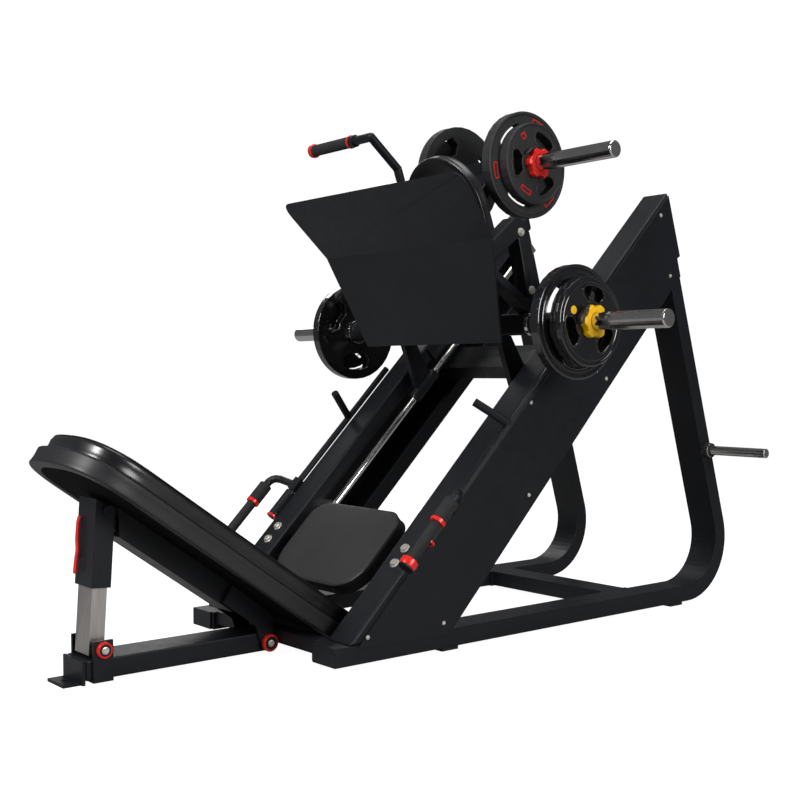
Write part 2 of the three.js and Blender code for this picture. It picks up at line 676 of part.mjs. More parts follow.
pair("lower_horn", turned([
  [AXLE_HALF + GAP, 0], [AXLE_HALF + GAP, 38], [AXLE_HALF + 12, 38], [AXLE_HALF + 12, HORN_R],
  [LOWER_FLANGE - 13, HORN_R], [LOWER_FLANGE - 13, 40], [LOWER_FLANGE - GAP, 40],
  [LOWER_FLANGE - GAP, HORN_R], [LOWER_TIP - 3, HORN_R], [LOWER_TIP, HORN_R - 3], [LOWER_TIP, 0],
], AXLE_Y, AXLE_Z), CHROME);
pair("upper_horn", turned([
  [TOP_HALF + GAP, 0], [TOP_HALF + GAP, 40], [TOP_HALF + 4, 40], [TOP_HALF + 4, HORN_R],
  [UPPER_TIP - 3, HORN_R], [UPPER_TIP, HORN_R - 3], [UPPER_TIP, 0],
], TOP_Y, TOP_Z), CHROME);

function arc(r, from, to, steps) {
  return Array.from({ length: steps + 1 }, (_, i) => {
    const a = from + (to - from) * (steps ? i / steps : 0);
    return new THREE.Vector2(r * Math.cos(a), r * Math.sin(a));
  });
}

// a weight plate: three kidney windows between hub and rim
function weight(r, x0, x1, y, z, turn) {
  const shape = new THREE.Shape(arc(r, 0, 2 * Math.PI, 32).slice(1));
  shape.holes.push(new THREE.Path(arc(HORN_R + RUN / 2, 2 * Math.PI, 0, 32).slice(1)));
  for (let i = 0; i < 3; i += 1) {
    const a = turn + (i * 2 * Math.PI) / 3;
    shape.holes.push(new THREE.Path([
      ...arc(r * 0.80, a - 0.40, a + 0.40, 4),
      ...arc(r * 0.64, a + 0.55, a + 0.55, 0),
      ...arc(r * 0.46, a + 0.40, a - 0.40, 3),
      ...arc(r * 0.64, a - 0.55, a - 0.55, 0),
    ]));
  }
  const geometry = across(shape, x0, x1);
  geometry.translate(0, y, z);
  return geometry;
}

const lowerBig = LOWER_FLANGE + 28;
const lowerSmall = lowerBig + 2 * GAP + 46;
pair("lower_big_plate", weight(BIG_R, LOWER_FLANGE, lowerBig, AXLE_Y, AXLE_Z, 0.5), RUBBER);
pair("lower_small_plate", fuse(
  weight(SMALL_R, lowerBig + 13, lowerSmall, AXLE_Y, AXLE_Z, 1.4),
  ring(lowerBig + GAP, lowerBig + 14, HORN_R + RUN / 2, 52, AXLE_Y, AXLE_Z, 32)), RUBBER);
pair("lower_collar", ring(
  lowerSmall + GAP, lowerSmall + GAP + COLLAR_T, HORN_R + RUN / 2, COLLAR_R, AXLE_Y, AXLE_Z), YELLOW);

const upperBig = TOP_HALF + 4 + GAP;
const upperSmall = upperBig + 32;
pair("upper_big_plate", weight(BIG_R + 3, upperBig, upperSmall, TOP_Y, TOP_Z, 0.2), RUBBER);
pair("upper_small_plate", weight(SMALL_R, upperSmall + GAP, upperSmall + 34, TOP_Y, TOP_Z, 1.1), RUBBER);
const upperFace = upperSmall + 34;
pair("upper_collar", ring(
  upperFace + GAP, upperFace + GAP + COLLAR_T, HORN_R + RUN / 2, COLLAR_R, TOP_Y, TOP_Z), RED);

// the middle of the length goes to Y = 0
machine.updateMatrixWorld(true);
const extent = new THREE.Box3().setFromObject(machine, true);
machine.position.y = -(extent.min.y + extent.max.y) / 2;

export default group;
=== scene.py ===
import json
import math
import bpy
import bmesh
import numpy as np
from mathutils import Matrix, Vector


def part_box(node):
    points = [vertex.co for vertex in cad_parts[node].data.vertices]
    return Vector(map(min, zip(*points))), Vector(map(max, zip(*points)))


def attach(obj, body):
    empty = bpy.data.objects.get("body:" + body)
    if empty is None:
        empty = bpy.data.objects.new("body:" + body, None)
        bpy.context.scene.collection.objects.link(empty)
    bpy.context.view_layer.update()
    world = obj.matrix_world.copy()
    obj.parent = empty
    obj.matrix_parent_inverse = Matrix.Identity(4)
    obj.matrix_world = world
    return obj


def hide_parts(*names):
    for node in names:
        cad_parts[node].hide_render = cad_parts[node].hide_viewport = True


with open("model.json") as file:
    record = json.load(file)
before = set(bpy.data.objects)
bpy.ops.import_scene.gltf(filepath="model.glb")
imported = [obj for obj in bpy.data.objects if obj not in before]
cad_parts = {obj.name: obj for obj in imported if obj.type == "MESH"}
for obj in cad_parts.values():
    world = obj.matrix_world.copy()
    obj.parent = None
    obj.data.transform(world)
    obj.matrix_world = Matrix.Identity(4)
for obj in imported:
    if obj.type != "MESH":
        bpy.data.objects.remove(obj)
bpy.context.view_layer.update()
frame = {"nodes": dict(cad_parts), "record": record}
nodes = frame["nodes"]
scene = bpy.context.scene

# Camera: a long-ish lens at hip height, off the right-hand corner of the backrest's head end.

camera_data = bpy.data.cameras.new("studio_camera")
camera_data.lens = 54.8
camera_data.sensor_width = 36
camera_data.clip_end = 60
camera = bpy.data.objects.new("studio_camera", camera_data)
scene.collection.objects.link(camera)
yaw, pitch, roll = math.radians(51.09), math.radians(-1.42), math.radians(-0.26)
ahead = Vector((-math.sin(yaw) * math.cos(pitch), math.cos(yaw) * math.cos(pitch), math.sin(pitch)))
level = Vector((math.cos(yaw), math.sin(yaw), 0))
upright = level.cross(ahead)
axle_low, axle_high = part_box("carriage_axle_tube")
standpoint = (axle_low.y + axle_high.y) / 2 - 2.5
side_axis = level * math.cos(roll) + upright * math.sin(roll)
top_axis = upright * math.cos(roll) - level * math.sin(roll)
camera.matrix_world = Matrix((
    (side_axis.x, top_axis.x, -ahead.x, 2.837),
    (side_axis.y, top_axis.y, -ahead.y, standpoint),
    (side_axis.z, top_axis.z, -ahead.z, 0.7674),
    (0, 0, 0, 1)))
scene.camera = camera

# Studio: a pale floor that runs out to white, and large soft lamps over and beside the machine.

floor_mesh = bpy.data.meshes.new("floor")
floor_mesh.from_pydata([(-14, -14, 0), (14, -14, 0), (14, 14, 0), (-14, 14, 0)], [], [(0, 1, 2, 3)])
floor = bpy.data.objects.new("floor", floor_mesh)
scene.collection.objects.link(floor)
floor_paint = bpy.data.materials.new("floor_paint")
floor_paint.use_nodes = True
floor_shader = floor_paint.node_tree.nodes["Principled BSDF"]
floor_shader.inputs["Base Color"].default_value = (0.3, 0.3, 0.3, 1)
floor_shader.inputs["Roughness"].default_value = 0.9
floor_shader.inputs["Specular IOR Level"].default_value = 0.1
floor_shader.inputs["Emission Color"].default_value = (1, 1, 1, 1)
floor_ray = floor_paint.node_tree.nodes.new("ShaderNodeLightPath")
floor_glow = floor_paint.node_tree.nodes.new("ShaderNodeMapRange")
floor_glow.inputs["To Min"].default_value = 0.06
floor_glow.inputs["To Max"].default_value = 0.97
floor_paint.node_tree.links.new(floor_ray.outputs["Is Camera Ray"], floor_glow.inputs["Value"])
floor_paint.node_tree.links.new(floor_glow.outputs["Result"], floor_shader.inputs["Emission Strength"])
floor_mesh.materials.append(floor_paint)

world = bpy.data.worlds.new("studio")
scene.world = world
world.use_nodes = True
sky = world.node_tree
sky_shader = sky.nodes["Background"]
sky_shader.inputs["Strength"].default_value = 0.11
seen = sky.nodes.new("ShaderNodeBackground")
seen.inputs["Color"].default_value = (1, 1, 1, 1)
seen.inputs["Strength"].default_value = 1.05
sky_shader.inputs["Color"].default_value = (0.92, 0.96, 1, 1)
ray = sky.nodes.new("ShaderNodeLightPath")
choose = sky.nodes.new("ShaderNodeMixShader")
sky.links.new(ray.outputs["Is Camera Ray"], choose.inputs[0])
sky.links.new(sky_shader.outputs[0], choose.inputs[1])
sky.links.new(seen.outputs[0], choose.inputs[2])
sky.links.new(choose.outputs[0], sky.nodes["World Output"].inputs["Surface"])
scene.view_settings.view_transform = "Standard"

for name, place, aim, size, power in (
    ("head_lamp", (-0.2, -4.2, 3.3), (0, 0, 0.6), 1.4, 165),
    ("top_lamp", (0.3, 0.2, 4.2), (0, 0, 0.5), 2.6, 60),
    ("side_lamp", (4.6, 0.2, 1.9), (0, 0.1, 0.7), 1.8, 105),
    ("far_lamp", (-3.6, 1.6, 2.6), (0, 0.3, 0.7), 2.0, 40),
):
    lamp_data = bpy.data.lights.new(name, "AREA")
    lamp_data.size = size
    lamp_data.energy = power
    lamp = bpy.data.objects.new(name, lamp_data)
    lamp.location = place
    lamp.rotation_mode = "QUATERNION"
    lamp.rotation_quaternion = (Vector(aim) - Vector(place)).to_track_quat("-Z", "Y")
    scene.collection.objects.link(lamp)

# Frame tubes, sheet covers and brackets: steel under a satin black powder coat with a fine
# orange peel. Every edge is rounded, the tubes' more than the sheets'.


def shader_of(name):
    """A new material's node tree and its main shader."""
    material = bpy.data.materials.new(name)
    material.use_nodes = True
    return material, material.node_tree, material.node_tree.nodes["Principled BSDF"]


def grain(tree, shader, scale, strength, distance, detail=2.0):
    """Noise on object coordinates, turned into a bump of the given depth."""
    place = tree.nodes.new("ShaderNodeTexCoord")
    noise = tree.nodes.new("ShaderNodeTexNoise")
    noise.inputs["Scale"].default_value = scale
    noise.inputs["Detail"].default_value = detail
    bump = tree.nodes.new("ShaderNodeBump")
    bump.inputs["Strength"].default_value = strength
    bump.inputs["Distance"].default_value = distance
    tree.links.new(place.outputs["Object"], noise.inputs["Vector"])
    tree.links.new(noise.outputs["Fac"], bump.inputs["Height"])
    tree.links.new(bump.outputs["Normal"], shader.inputs["Normal"])
    return place


def ramp(tree, source, target, stops):
    """A colour ramp from a 0 to 1 value to a shader's socket."""
    band = tree.nodes.new("ShaderNodeValToRGB")
    band.color_ramp.elements[0].position, band.color_ramp.elements[0].color = stops[0]
    band.color_ramp.elements[1].position, band.color_ramp.elements[1].color = stops[1]
    tree.links.new(source, band.inputs["Fac"])
    tree.links.new(band.outputs["Color"], target)


def clouds(tree, place, scale, detail=3.0):
    """Large soft noise for slow changes of tone or gloss."""
    noise = tree.nodes.new("ShaderNodeTexNoise")
    noise.inputs["Scale"].default_value = scale
    noise.inputs["Detail"].default_value = detail
    tree.links.new(place.outputs["Object"], noise.inputs["Vector"])
    return noise.outputs["Fac"]


powder_coat, tree, shader = shader_of("powder_coat")
place = grain(tree, shader, 900, 0.12, 0.0004)
ramp(tree, clouds(tree, place, 5), shader.inputs["Base Color"],
     ((0.3, (0.0075, 0.0083, 0.0105, 1)), (0.7, (0.0100, 0.0110, 0.0138, 1))))
ramp(tree, clouds(tree, place, 40), shader.inputs["Roughness"],
     ((0.3, (0.36, 0.36, 0.36, 1)), (0.7, (0.46, 0.46, 0.46, 1))))
shader.inputs["Specular IOR Level"].default_value = 0.3


def dress(node, material, edge, segments=3):
    """A CAD node gets its material and rounded, smoothly shaded edges."""
    thing = nodes[node]
    thing.data.materials.clear()
    thing.data.materials.append(material)
    if edge:
        weld = thing.modifiers.new("weld", "WELD")
        weld.merge_threshold = 0.00002
        bevel = thing.modifiers.new("edge", "BEVEL")
        bevel.width = edge
        bevel.segments = segments
        bevel.limit_method = "ANGLE"
        bevel.angle_limit = math.radians(38)
        bevel.harden_normals = True


tube_nodes = ["front_cross_tube", "rear_cross_tube", "upper_cross_tube", "centre_floor_tube",
              "carriage_axle_tube", "seat_bracket", "carriage_column", "backrest_arm"]
sheet_nodes = ["front_foot_bracket", "post_saddle", "post_sleeve", "foot_plate"]
for side in ("right", "left"):
    tube_nodes += [side + "_side_frame", side + "_rail_beam", side + "_lower_rail", side + "_carriage_side"]
    sheet_nodes += [side + "_side_cover", side + "_bearing_housing"]
    sheet_nodes += [side + "_stop_bushing", side + "_stop_shaft"]
for node in tube_nodes:
    dress(node, powder_coat, 0.006)
for node in sheet_nodes:
    dress(node, powder_coat, 0.0015, 2)
dress("carriage_handle", powder_coat, 0.0)

# Bright steel: horns, pegs and guide rods are hard-chromed, the inner post is brushed.

chrome, tree, shader = shader_of("chrome")
shader.inputs["Metallic"].default_value = 1.0
place = grain(tree, shader, 60, 0.02, 0.0003)
ramp(tree, clouds(tree, place, 12), shader.inputs["Base Color"],
     ((0.3, (0.70, 0.665, 0.64, 1)), (0.7, (0.80, 0.765, 0.74, 1))))
ramp(tree, clouds(tree, place, 90), shader.inputs["Roughness"],
     ((0.3, (0.1, 0.1, 0.1, 1)), (0.7, (0.18, 0.18, 0.18, 1))))
for side in ("right", "left"):
    dress(side + "_lower_horn", chrome, 0.0008, 2)
    dress(side + "_upper_horn", chrome, 0.0008, 2)
    dress(side + "_storage_peg", chrome, 0.0008, 2)
    dress(side + "_guide_rod", chrome, 0.0005, 2)

zinc, tree, shader = shader_of("zinc_plate")
shader.inputs["Metallic"].default_value = 0.8
place = grain(tree, shader, 250, 0.06, 0.0003)
ramp(tree, clouds(tree, place, 60), shader.inputs["Base Color"],
     ((0.3, (0.78, 0.75, 0.68, 1)), (0.7, (0.92, 0.89, 0.82, 1))))
shader.inputs["Roughness"].default_value = 0.34

brushed, tree, shader = shader_of("brushed_post")
shader.inputs["Metallic"].default_value = 1.0
place = tree.nodes.new("ShaderNodeTexCoord")
stretch = tree.nodes.new("ShaderNodeMapping")
stretch.inputs["Scale"].default_value = (500, 500, 6)
streaks = tree.nodes.new("ShaderNodeTexNoise")
streaks.inputs["Scale"].default_value = 1.0
tree.links.new(place.outputs["Object"], stretch.inputs["Vector"])
tree.links.new(stretch.outputs["Vector"], streaks.inputs["Vector"])
ramp(tree, streaks.outputs["Fac"], shader.inputs["Base Color"],
     ((0.3, (0.42, 0.39, 0.37, 1)), (0.7, (0.56, 0.53, 0.51, 1))))
ramp(tree, streaks.outputs["Fac"], shader.inputs["Roughness"],
     ((0.3, (0.3, 0.3, 0.3, 1)), (0.7, (0.44, 0.44, 0.44, 1))))
dress("post_inner", brushed, 0.004)

# Red painted metal: lever, rings, caps and the upper collars.

red_metal, tree, shader = shader_of("red_metal")
shader.inputs["Metallic"].default_value = 0.2
place = grain(tree, shader, 300, 0.05, 0.0003)
ramp(tree, clouds(tree, place, 30), shader.inputs["Base Color"],
     ((0.3, (0.80, 0.022, 0.016, 1)), (0.7, (0.95, 0.035, 0.025, 1))))
shader.inputs["Roughness"].default_value = 0.25
dress("post_lever", red_metal, 0.0015, 2)

# Rubber feet under the side tubes.

rubber, tree, shader = shader_of("moulded_rubber")
place = grain(tree, shader, 500, 0.3, 0.0006)
ramp(tree, clouds(tree, place, 25), shader.inputs["Base Color"],
     ((0.3, (0.012, 0.012, 0.012, 1)), (0.7, (0.02, 0.02, 0.02, 1))))
shader.inputs["Roughness"].default_value = 0.75
for side in ("right", "left"):
    dress(side + "_front_foot", rubber, 0.003)
    dress(side + "_rear_foot", rubber, 0.003)

# Weight plates: the upper ones rubber over iron, the lower ones in gloss enamel; their collars.

plate_rubber, tree, shader = shader_of("plate_rubber")
place = grain(tree, shader, 700, 0.25, 0.0005)
ramp(tree, clouds(tree, place, 20), shader.inputs["Base Color"],
     ((0.3, (0.014, 0.0145, 0.016, 1)), (0.7, (0.022, 0.0225, 0.024, 1))))
shader.inputs["Roughness"].default_value = 0.55
enamel, tree, shader = shader_of("plate_enamel")
place = grain(tree, shader, 120, 0.25, 0.001)
ramp(tree, clouds(tree, place, 20), shader.inputs["Base Color"],
     ((0.3, (0.006, 0.006, 0.007, 1)), (0.7, (0.011, 0.011, 0.012, 1))))
shader.inputs["Roughness"].default_value = 0.14
shader.inputs["Coat Weight"].default_value = 1.0
shader.inputs["Coat Roughness"].default_value = 0.05
yellow, tree, shader = shader_of("collar_yellow")
place = grain(tree, shader, 200, 0.1, 0.0004)
ramp(tree, clouds(tree, place, 30), shader.inputs["Base Color"],
     ((0.3, (0.95, 0.50, 0.0, 1)), (0.7, (1.0, 0.60, 0.01, 1))))
shader.inputs["Roughness"].default_value = 0.35
for side in ("right", "left"):
    for size in ("big", "small"):
        dress(f"{side}_upper_{size}_plate", plate_rubber, 0.004)
        dress(f"{side}_lower_{size}_plate", enamel, 0.005, 4)
    dress(side + "_lower_collar", yellow, 0.002, 2)
    dress(side + "_upper_collar", red_metal, 0.002, 2)

# Fasteners, all zinc-plated: hex bolts with washers on the rails and the carriage, and small
# domed screws along the covers.


def turned(profile, start, axis, sides=32, phase=0.0):
    """Points (along, radius) of a profile carried round an axis through start: a grid of
    start + along * axis + radius * (cos a, sin a) in the plane across the axis."""
    axis = Vector(axis).normalized()
    first = axis.orthogonal() if abs(axis.z) > 0.99 else Vector((0, 0, 1)).cross(axis)
    first.normalize()
    second = axis.cross(first)
    along, radius = np.array(profile, float).T
    angle = phase + np.linspace(0, 2 * np.pi, sides, endpoint=False)
    ringed = np.cos(angle)[:, None] * np.array(first) + np.sin(angle)[:, None] * np.array(second)
    points = (np.array(start) + along[:, None, None] * np.array(axis)
              + radius[:, None, None] * ringed[None, :, :])
    return lattice(points, wrap_across=True)


def lattice(points, wrap_along=False, wrap_across=False):
    """Vertices and quads of a grid of points, joined to itself where it wraps."""
    rows, columns = points.shape[:2]
    index = np.arange(rows * columns).reshape(rows, columns)
    if wrap_along:
        index = np.vstack([index, index[:1]])
    if wrap_across:
        index = np.hstack([index, index[:, :1]])
    quads = np.stack([index[:-1, :-1], index[:-1, 1:], index[1:, 1:], index[1:, :-1]], axis=-1)
    return points.reshape(-1, 3), quads.reshape(-1, 4)


def piece(name, parts, body, material, sharp=32):
    """One named object from several grids, with its doubles merged, riding on a body."""
    mesh = bpy.data.meshes.new(name)
    vertices, faces, count = [], [], 0
    for points, quads in parts:
        vertices.append(points)
        faces.append(quads + count)
        count += len(points)
    mesh.from_pydata(np.vstack(vertices).tolist(), [], np.vstack(faces).tolist())
    shell = bmesh.new()
    shell.from_mesh(mesh)
    bmesh.ops.remove_doubles(shell, verts=shell.verts, dist=2e-6)
    bmesh.ops.dissolve_degenerate(shell, edges=shell.edges, dist=2e-6)
    bmesh.ops.recalc_face_normals(shell, faces=shell.faces)
    shell.to_mesh(mesh)
    shell.free()
    mesh.shade_smooth()
    mesh.set_sharp_from_angle(angle=math.radians(sharp))
    mesh.materials.append(material)
    thing = bpy.data.objects.new(name, mesh)
    scene.collection.objects.link(thing)
    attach(thing, body)
    return thing


slide = math.sqrt(0.5)
up_rail = Vector((0, slide, slide))
off_rail = Vector((0, -slide, slide))
joints = {joint["name"]: joint for joint in frame["record"]["behaviour"]["joints"]}
stop_pin = Vector(joints["right_stop_turn"]["pos_m"])
rail_foot = stop_pin - up_rail * 0.4 - Vector((stop_pin.x, 0, 0))


def on_rail(x, s, n):
    """The point x across, s up the rail and n off its face, all in metres."""
    return Vector((x, 0, 0)) + rail_foot + up_rail * s + off_rail * n


def hex_bolt(at, axis, flats, height):
    """A washer, then a six-sided head with a turned crown."""
    washer = turned([(-0.0015, 0), (-0.0015, flats * 1.35), (0.0014, flats * 1.35), (0.0018, flats * 1.3),
                     (0.0018, 0)], at, axis, 24)
    head = turned([(0.0015, 0), (0.0015, flats * 1.12), (height - 0.0012, flats * 1.12),
                   (height, flats * 0.95), (height, flats * 0.6), (height - 0.0006, flats * 0.55),
                   (height - 0.0006, 0)], at, axis, 6, 0.3)
    return [washer, head]


cover_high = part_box("right_side_cover")[1]
for side, hand in (("right", 1), ("left", -1)):
    bolts = []
    for s in (0.265, 0.316):
        bolts += hex_bolt(on_rail(hand * 0.310, s, 0), off_rail, 0.0105, 0.009)
    piece(side + "_seat_bolts", bolts, "frame", zinc)
    screws = []
    for s, n in ((0.05, -0.025), (0.886, -0.025), (1.70, -0.025),
                 (0.234, -0.205), (0.692, -0.205), (1.158, -0.205), (1.60, -0.190)):
        spot = on_rail(0, s, n)
        spot.x = hand * cover_high.x
        screws.append(turned([(-0.001, 0), (-0.001, 0.0062), (0.0008, 0.0062), (0.0026, 0.0045),
                              (0.0032, 0.002), (0.0020, 0.0018), (0.0020, 0)], spot, (hand, 0, 0), 16))
    piece(side + "_cover_screws", screws, "frame", zinc)
    side_low, side_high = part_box(side + "_carriage_side")
    face = max(abs(side_low.x), abs(side_high.x)) * hand
    rim = [hex_bolt(Vector((face, (axle_low.y + axle_high.y) / 2 - back, z)), (hand, 0, 0), 0.009, 0.007)
           for back, z in ((0.048, 1.158), (0.005, 0.995))]
    piece(side + "_carriage_bolts", rim[0] + rim[1], "carriage", zinc)

# Cushions: firm foam on a board under stretched artificial leather. Their edges are rolled, their
# faces crowned, their sides a little hollow between the corners; the boards are black below, the backrest's
# darkened further with painted shade in its recess.


def leather(name, low, high, rough, coat):
    """Artificial leather: a fine pebbled grain, slow changes of tone, and a gloss that varies."""
    material, tree, shader = shader_of(name)
    place = grain(tree, shader, 420, 0.16, 0.0006, 5.0)
    ramp(tree, clouds(tree, place, 9), shader.inputs["Base Color"], ((0.3, low), (0.7, high)))
    ramp(tree, clouds(tree, place, 16, 5.0), shader.inputs["Roughness"],
         ((0.3, (rough - 0.05,) * 3 + (1,)), (0.7, (rough + 0.06,) * 3 + (1,))))
    shader.inputs["Coat Weight"].default_value = coat
    shader.inputs["Coat Roughness"].default_value = 0.22
    return material


satin_leather = leather("satin_leather", (0.0095, 0.0096, 0.011, 1), (0.0135, 0.0136, 0.0155, 1), 0.5, 0.0)
gloss_leather = leather("gloss_leather", (0.006, 0.006, 0.007, 1), (0.010, 0.010, 0.011, 1), 0.3, 0.35)
seat_leather = leather("seat_leather", (0.0185, 0.0165, 0.017, 1), (0.0235, 0.021, 0.0215, 1), 0.62, 0.0)


# The backrest's board: black, with painted shade of its recess in the colour, so it is darker than any other
# black here.
board_black_painted_shade, tree, shader = shader_of("board_black_painted_shade")
place = grain(tree, shader, 900, 0.3, 0.0004)
ramp(tree, clouds(tree, place, 30), shader.inputs["Base Color"],
     ((0.3, (0.0015, 0.0015, 0.0016, 1)), (0.7, (0.003, 0.003, 0.003, 1))))
shader.inputs["Roughness"].default_value = 0.9
shader.inputs["Specular IOR Level"].default_value = 0.1


def inset_ring(outline, inset):
    """A closed outline moved inwards by a distance, square to itself at every point."""
    ahead = np.roll(outline, -1, 0) - np.roll(outline, 1, 0)
    ahead /= np.linalg.norm(ahead, axis=1)[:, None]
    return outline - inset * np.stack([ahead[:, 1], -ahead[:, 0]], 1)


def pad_rows(outline, thick, crown, roll, hem):
    """Rows (x, y, height) of a pad: a board sunk 2 mm inside a folded hem, a rolled lower edge,
    a side that is hollow by 1.5 mm, a rolled upper edge, and a face that rises by crown towards
    the middle as one minus the distance out to the power 2.4."""
    edge = np.linspace(0, np.pi / 2, 6)
    low = [(0.004 * (1 - math.sin(a)), 0.004 * (1 - math.cos(a))) for a in edge]
    wall = thick - crown - roll - 0.004
    side = [(0.0015 * math.sin(math.pi * t), 0.004 + wall * t) for t in (0.25, 0.5, 0.75)]
    high = [(roll * (1 - math.cos(a)), thick - crown - roll + roll * math.sin(a)) for a in edge]
    rows = []
    middle = inset_ring(outline, hem).mean(0)
    for k in (0.0, 0.5, 1.0):
        rows.append((middle + (inset_ring(outline, hem + 0.004) - middle) * k, np.full(len(outline), 0.002)))
    for inset, height in [(hem, 0.0)] + low + side + high:
        rows.append((inset_ring(outline, inset), np.full(len(outline), height)))
    rim = inset_ring(outline, roll)
    for k in 1 - np.linspace(0, 1, 22)[1:] ** 1.35:
        height = thick - crown + crown * (1 - k ** 2.4)
        rows.append((middle + (rim - middle) * k, np.full(len(outline), height)))
    return np.stack([np.concatenate([flat, height[:, None]], 1) for flat, height in rows])


def laid(rows, origin, run, out):
    """Rows in a pad's own plane, set at origin with y along run and height along out."""
    points = np.array(origin) + rows[..., 1:2] * np.array(run) + rows[..., 2:3] * np.array(out)
    points[..., 0] += rows[..., 0]
    return points


def round_box(half, foot, head, low_r, high_r):
    """A rectangle with its lower and upper corners rounded, in even steps, anticlockwise."""
    points = []
    for x, y, r, start in ((half, foot, low_r, -90), (half, head, high_r, 0),
                           (-half, head, high_r, 90), (-half, foot, low_r, 180)):
        centre = np.array((x - math.copysign(r, x), y + (r if y == foot else -r)))
        for a in np.radians(np.linspace(start, start + 90, 15)):
            points.append(centre + r * np.array((math.cos(a), math.sin(a))))
    return evened(np.array(points), 180)


def evened(outline, count):
    """The same closed outline with count points at equal distances along it."""
    closed = np.vstack([outline, outline[:1]])
    length = np.concatenate([[0], np.cumsum(np.linalg.norm(np.diff(closed, axis=0), axis=1))])
    at = np.linspace(0, length[-1], count, endpoint=False)
    return np.stack([np.interp(at, length, closed[:, 0]), np.interp(at, length, closed[:, 1])], 1)


def tongue(inset):
    """The backrest's outline: round foot corners, straight sides and a head of power 2.8."""
    wide, foot, head, depth, corner = 0.215 - inset, -0.392 + inset, 0.552 - inset, 0.185 - inset, 0.040
    fullness = 2 / 2.8
    a = np.linspace(0, np.pi, 121)
    arch = np.stack([wide * np.sign(np.cos(a)) * np.abs(np.cos(a)) ** fullness,
                     head - depth + depth * np.abs(np.sin(a)) ** fullness], 1)
    b = np.radians(np.linspace(0, 90, 12))
    left = np.stack([-wide + corner - corner * np.cos(b), foot + corner - corner * np.sin(b)], 1)
    right = np.stack([wide - corner + corner * np.sin(b), foot + corner - corner * np.cos(b)], 1)
    return evened(np.vstack([arch, left, right]), 240)


tilt_pin = Vector(joints["backrest_tilt"]["pos_m"])
slope = math.radians(35.2)
bed_seam = (0.0, tilt_pin.y - 0.122, tilt_pin.z + 0.236)
bed_up, bed_out = (0.0, -math.cos(slope), math.sin(slope)), (0.0, math.sin(slope), math.cos(slope))
base_thick, top_thick = 0.0455, 0.056
base_foot = np.array(bed_seam) - 0.046 * np.array(bed_out)
base_pad = piece("backrest_base_cushion", [lattice(laid(
    pad_rows(tongue(0.001), base_thick, 0.0, 0.006, 0.030), base_foot, bed_up, bed_out), wrap_across=True)],
    "backrest", satin_leather, 50)
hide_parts("backrest_base_pad")
# A thin near-black sheet in the backrest's underside recess: the board, its colour darkened with painted
# shade.
board_ring = inset_ring(tongue(0.001), 0.036)
board_middle = board_ring.mean(0)
board_rows = np.stack([np.concatenate([board_middle + (board_ring - board_middle) * k,
                                       np.full((len(board_ring), 1), height)], 1)
                       for k, height in ((0, 0.0006), (0.5, 0.0006), (1, 0.0006), (1, 0.0014), (0.5, 0.0014),
                                         (0, 0.0014))])
piece("backrest_board", [lattice(laid(board_rows, base_foot, bed_up, bed_out), wrap_across=True)],
      "backrest", board_black_painted_shade, 50)
top_pad = piece("backrest_top_cushion", [lattice(laid(
    pad_rows(tongue(0.0155), top_thick, 0.010, 0.017, 0.040), bed_seam, bed_up, bed_out), wrap_across=True)],
    "backrest", gloss_leather, 50)
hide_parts("backrest_top_pad")

seat_low, seat_high = 0.159, 0.431
seat_rows = pad_rows(round_box(0.209, seat_low, seat_high, 0.095, 0.062), 0.050, 0.006, 0.009, 0.030)
seat_foot = on_rail(0, 0, -0.045)
seat_pad = piece("seat_cushion", [lattice(laid(seat_rows, seat_foot, up_rail, off_rail), wrap_across=True)],
                 "frame", seat_leather, 50)
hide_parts("seat_pad")

pad_lean = math.radians(20)
pad_run = (0.0, -math.sin(pad_lean), math.cos(pad_lean))
pad_out = (0.0, math.cos(pad_lean), math.sin(pad_lean))
pad_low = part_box("carriage_pad")[0]
pad_foot = (0.0, (axle_low.y + axle_high.y) / 2 - 0.004, pad_low.z)
arch_angle = np.linspace(0, np.pi, 60)
arch = np.stack([0.169 * np.cos(arch_angle), 0.088 + 0.169 * np.sin(arch_angle)], 1)
pad_base = [[-0.169, 0.012], [-0.157, 0.0005], [0.157, 0.0005], [0.169, 0.012]]
pad_outline = evened(np.vstack([arch, pad_base]), 180)
shoulder_pad = piece("carriage_cushion", [lattice(laid(
    pad_rows(pad_outline, 0.040, 0.004, 0.012, 0.025), pad_foot, pad_run, pad_out), wrap_across=True)],
    "carriage", gloss_leather, 50)
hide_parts("carriage_pad")

# Welts: a leather cord sewn round the upper edge of each cushion and round the backrest's lower layer.


def bead(path, radius, normal, sides=8):
    """A round bead along a closed path: at each point a small circle in the plane of the
    surface's normal and the path's outward side."""
    ahead = np.roll(path, -1, 0) - np.roll(path, 1, 0)
    ahead /= np.linalg.norm(ahead, axis=1)[:, None]
    normal = np.array(normal)
    out = np.cross(ahead, normal)
    angle = np.linspace(0, 2 * np.pi, sides, endpoint=False)
    points = (path[:, None, :] + radius * np.cos(angle)[None, :, None] * out[:, None, :]
              + radius * 0.7 * np.sin(angle)[None, :, None] * normal)
    return lattice(points, wrap_along=True, wrap_across=True)


def welt(name, outline, inset, height, origin, run, out, body, material, radius=0.0024):
    """A round cord along an outline set in by inset, at a height above the pad's foot."""
    ring = inset_ring(outline, inset)
    path = laid(np.concatenate([ring, np.full((len(ring), 1), height)], 1)[None], origin, run, out)[0]
    piece(name, [bead(path, radius, out)], body, material, 60)


